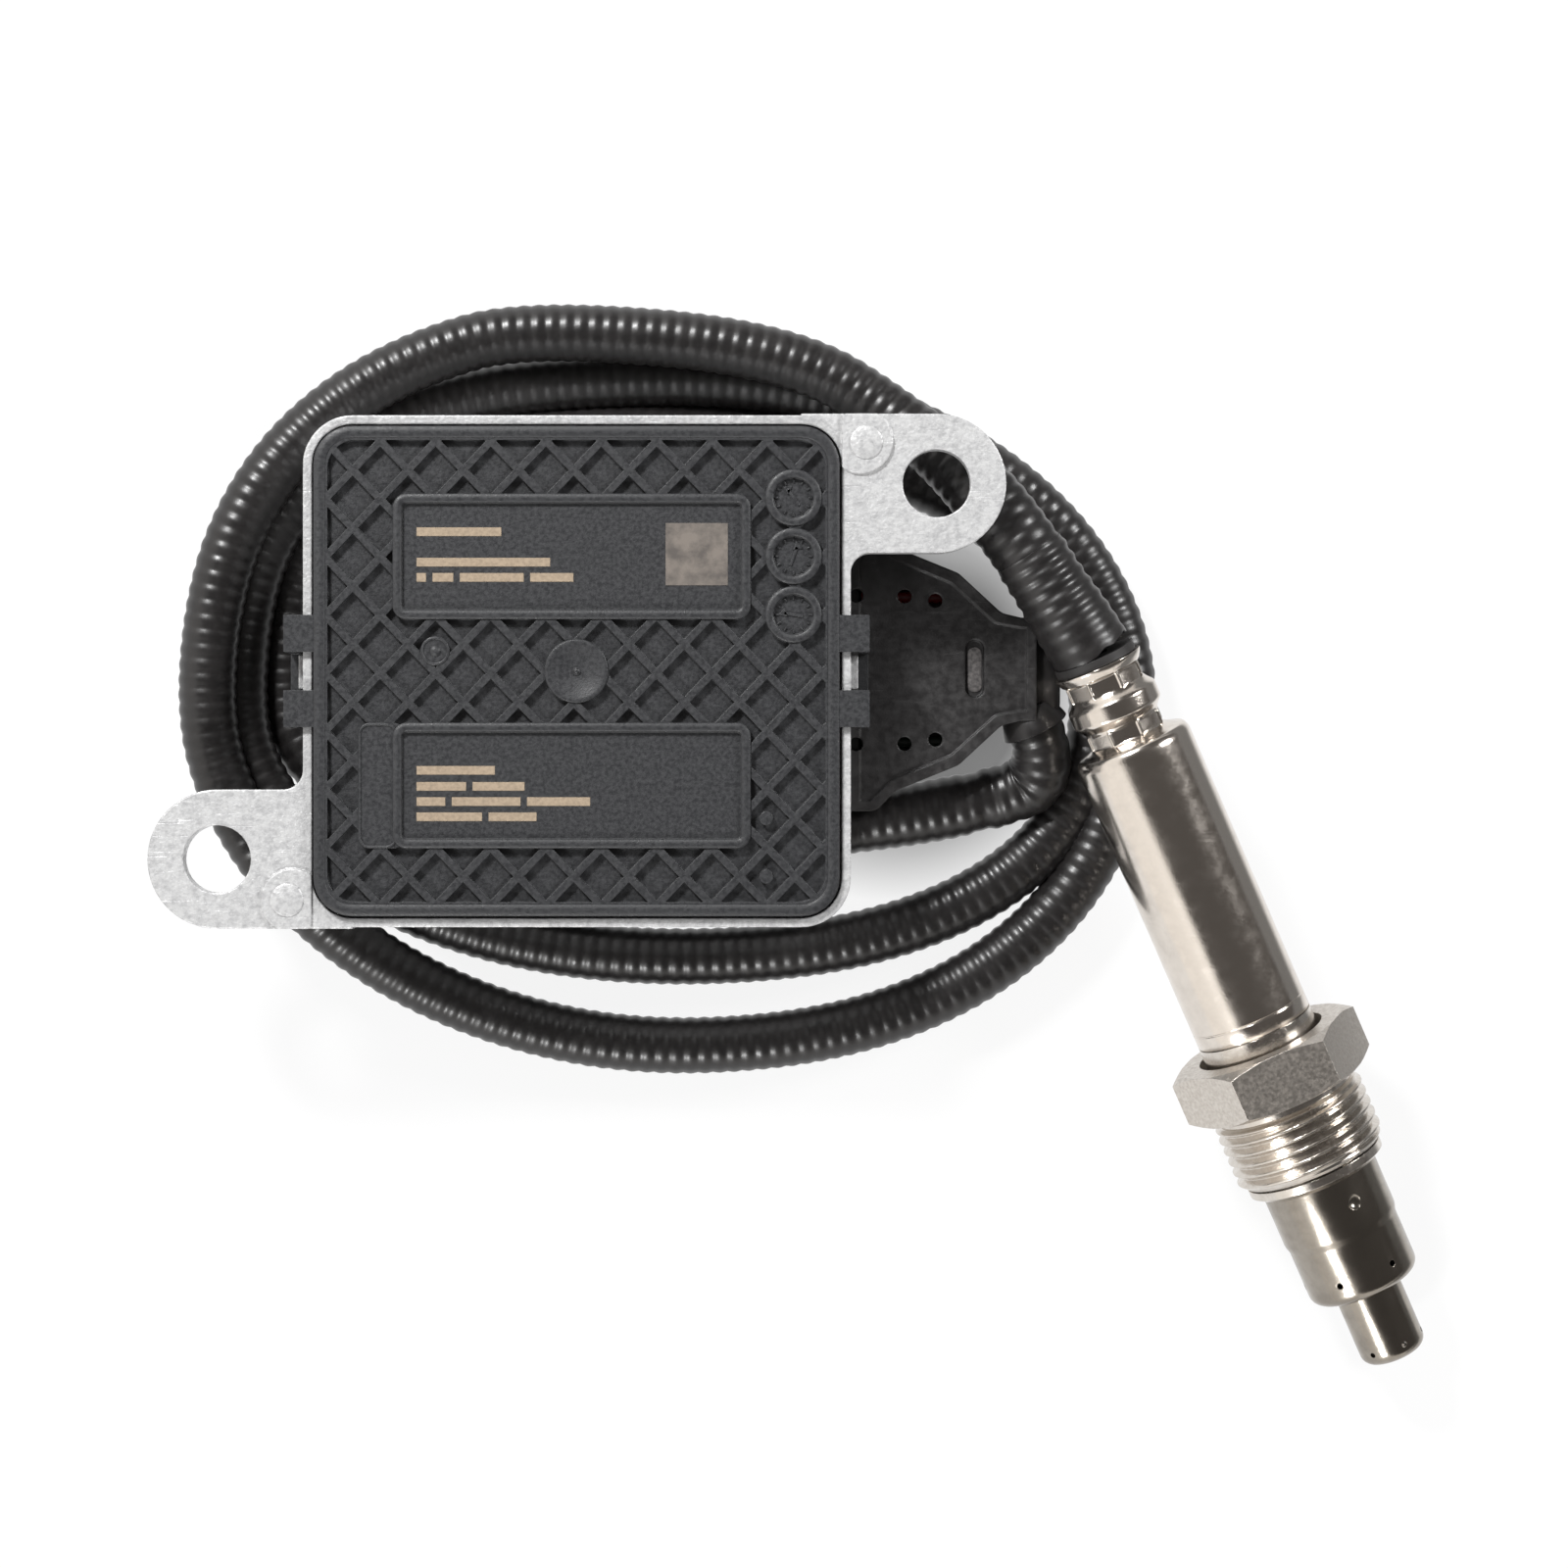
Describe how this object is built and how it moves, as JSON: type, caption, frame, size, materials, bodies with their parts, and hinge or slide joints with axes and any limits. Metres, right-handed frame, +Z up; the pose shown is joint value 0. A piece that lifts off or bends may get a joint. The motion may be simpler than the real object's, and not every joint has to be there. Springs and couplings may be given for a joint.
{
  "type": "nitrogen oxide sensor",
  "caption": "Exhaust gas sensor: ribbed control module in a cast tray, cable hood, coiled ribbed conduit and a screw-in steel probe with a loose union nut and a stepped, perforated cap",
  "frame": {"origin": "on the surface that the sensor lies on, under the middle of the box round the module, hood and probe", "axes": "+Z up; +X from the module towards the probe; +Y towards the module's far long side"},
  "size_m": [0.1624, 0.1375, 0.0269],
  "materials": {
    "cast_aluminium": "sandy cast",
    "black_moulding": "fine grain",
    "seal_rubber": "soft",
    "board_laminate": "solder resist",
    "chip_epoxy": "moulded",
    "can_aluminium": "drawn can",
    "contact_metal": "plated",
    "hood_moulding": "scuffed",
    "wire_1": "insulation",
    "wire_2": "insulation",
    "wire_3": "insulation",
    "wire_4": "insulation",
    "wire_5": "insulation",
    "wire_6": "insulation",
    "stainless_steel": "drawn",
    "ceramic": "unglazed ceramic",
    "talc": "pressed powder",
    "conduit_plastic": "smooth"
  },
  "bodies": {
    "sensor": {"housing_tray": "cast_aluminium", "housing_cover": "black_moulding", "cover_gasket": "seal_rubber", "circuit_board": "board_laminate", "signal_processor": "chip_epoxy", "heater_driver": "chip_epoxy", "bus_transceiver": "chip_epoxy", "storage_capacitor": "can_aluminium", "vehicle_connector": "black_moulding", "vehicle_pin_1": "contact_metal", "vehicle_pin_2": "contact_metal", "vehicle_pin_3": "contact_metal", "vehicle_pin_4": "contact_metal", "vehicle_pin_5": "contact_metal", "hood_lower": "hood_moulding", "hood_upper": "hood_moulding", "hood_wire_1": "wire_1", "hood_wire_2": "wire_2", "hood_wire_3": "wire_3", "hood_wire_4": "wire_4", "hood_wire_5": "wire_5", "hood_wire_6": "wire_6", "sensor_sleeve": "stainless_steel", "cable_grommet": "seal_rubber", "contact_carrier": "ceramic", "contact_spring_upper": "contact_metal", "contact_spring_lower": "contact_metal", "sensor_body": "stainless_steel", "rear_ceramic_bush": "ceramic", "talc_ring": "talc", "sensing_element": "ceramic", "outer_cap": "stainless_steel", "inner_cap": "stainless_steel", "conduit_coil": "conduit_plastic", "conduit_lead_module": "conduit_plastic", "conduit_lead_probe": "conduit_plastic", "conduit_boot": "conduit_plastic"},
    "nut": {"union_nut": "stainless_steel"}
  },
  "joints": [
    {"name": "nut_spin", "type": "hinge", "parent": "sensor", "child": "nut", "pos_m": [0.0604, -0.02185, 0.01153], "axis": [0.4039, -0.9071, -0.1184], "continuous": true}
  ]
}
